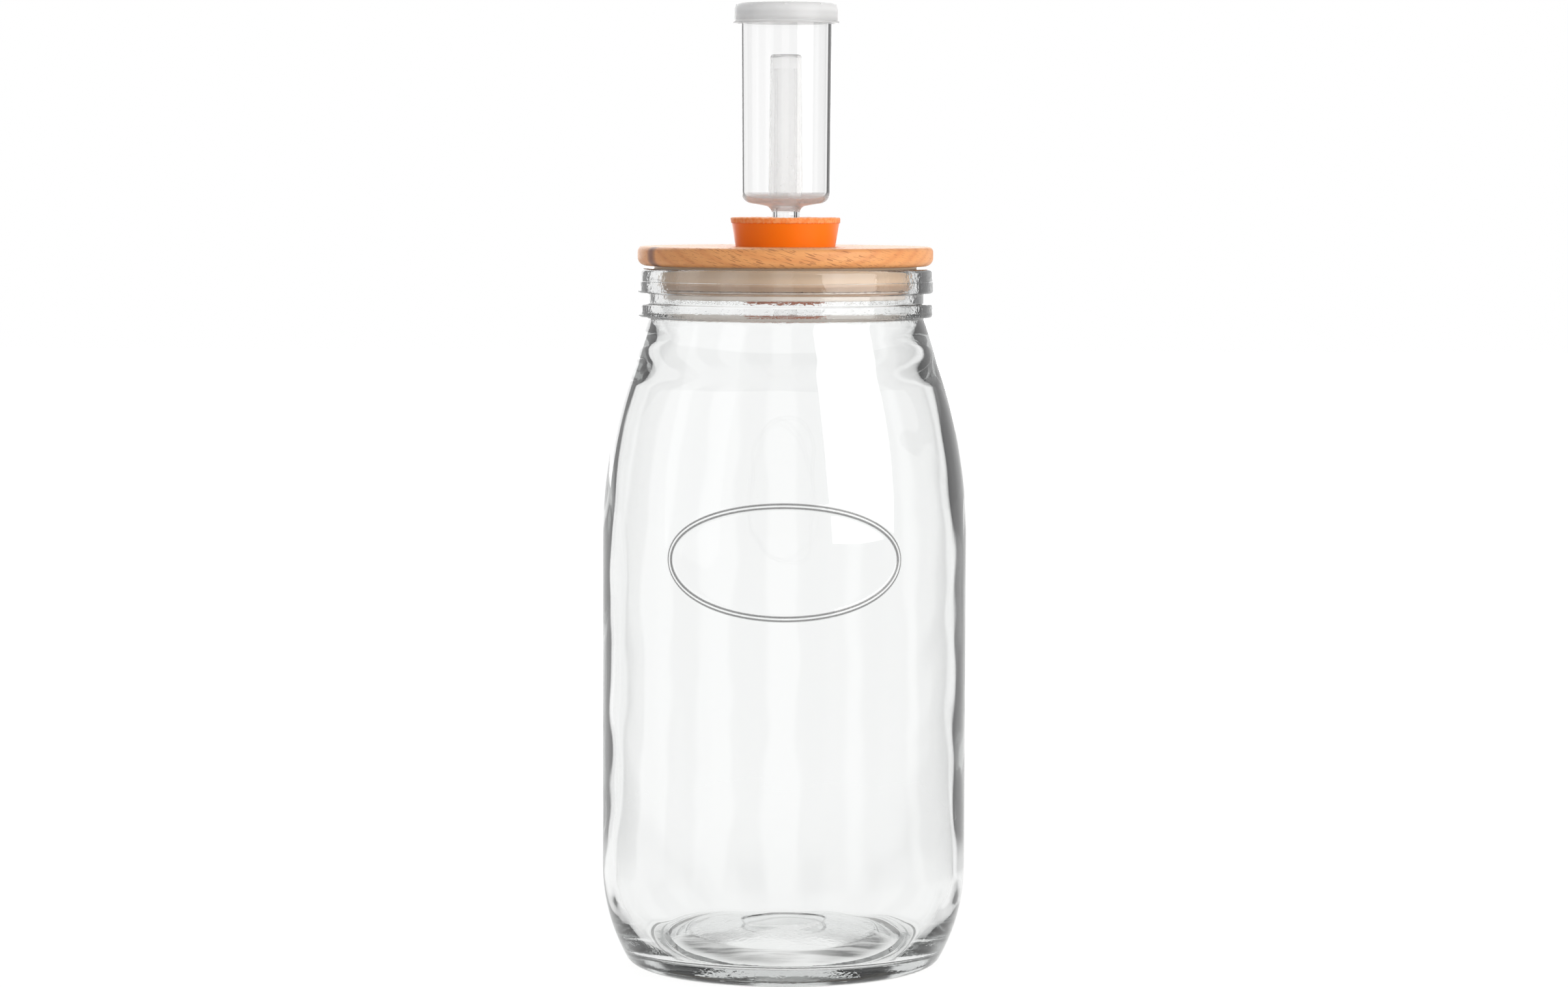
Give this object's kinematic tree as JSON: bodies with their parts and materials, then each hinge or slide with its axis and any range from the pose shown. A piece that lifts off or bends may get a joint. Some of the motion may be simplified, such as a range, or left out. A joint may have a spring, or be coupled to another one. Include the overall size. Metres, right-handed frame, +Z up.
{
  "type": "fermentation jar with airlock",
  "caption": "Tall round glass fermentation jar with a drawn-in ringed neck, a turned wooden plug lid, a tapered silicone bung and a clear water airlock with float and cap.",
  "frame": {"origin": "on the jar's axis, in the plane of the foot ring that it stands on", "axes": "+Z up the axis from the foot to the airlock's cap; -Y towards the viewer, +X to the right"},
  "size_m": [0.14, 0.14, 0.3699],
  "materials": {
    "jar_glass": "clear pressed soda glass",
    "lid_wood": "fine-sanded oiled beech",
    "seal_silicone": "translucent silicone",
    "bung_silicone": "satin orange silicone",
    "airlock_clear": "clear moulded plastic",
    "float_clear": "clear moulded plastic",
    "cap_frosted": "frosted moulded plastic"
  },
  "bodies": {
    "jar": {"glass_jar": "jar_glass"},
    "lid": {"wooden_lid": "lid_wood", "lid_seal": "seal_silicone"},
    "bung": {"airlock_bung": "bung_silicone"},
    "airlock": {"airlock_body": "airlock_clear"},
    "float": {"airlock_float": "float_clear"},
    "cap": {"airlock_cap": "cap_frosted"}
  },
  "joints": [
    {"name": "lid_lift", "type": "slide", "parent": "jar", "child": "lid", "axis": [0, 0, 1], "range_m": [0, 0.06]},
    {"name": "bung_pull", "type": "slide", "parent": "lid", "child": "bung", "axis": [0, 0, 1], "range_m": [0, 0.045]},
    {"name": "airlock_pull", "type": "slide", "parent": "bung", "child": "airlock", "axis": [0, 0, 1], "range_m": [0, 0.055]},
    {"name": "float_rise", "type": "slide", "parent": "airlock", "child": "float", "axis": [0, 0, 1], "range_m": [0, 0.017]},
    {"name": "cap_pull", "type": "slide", "parent": "airlock", "child": "cap", "axis": [0, 0, 1], "range_m": [0, 0.03]}
  ]
}
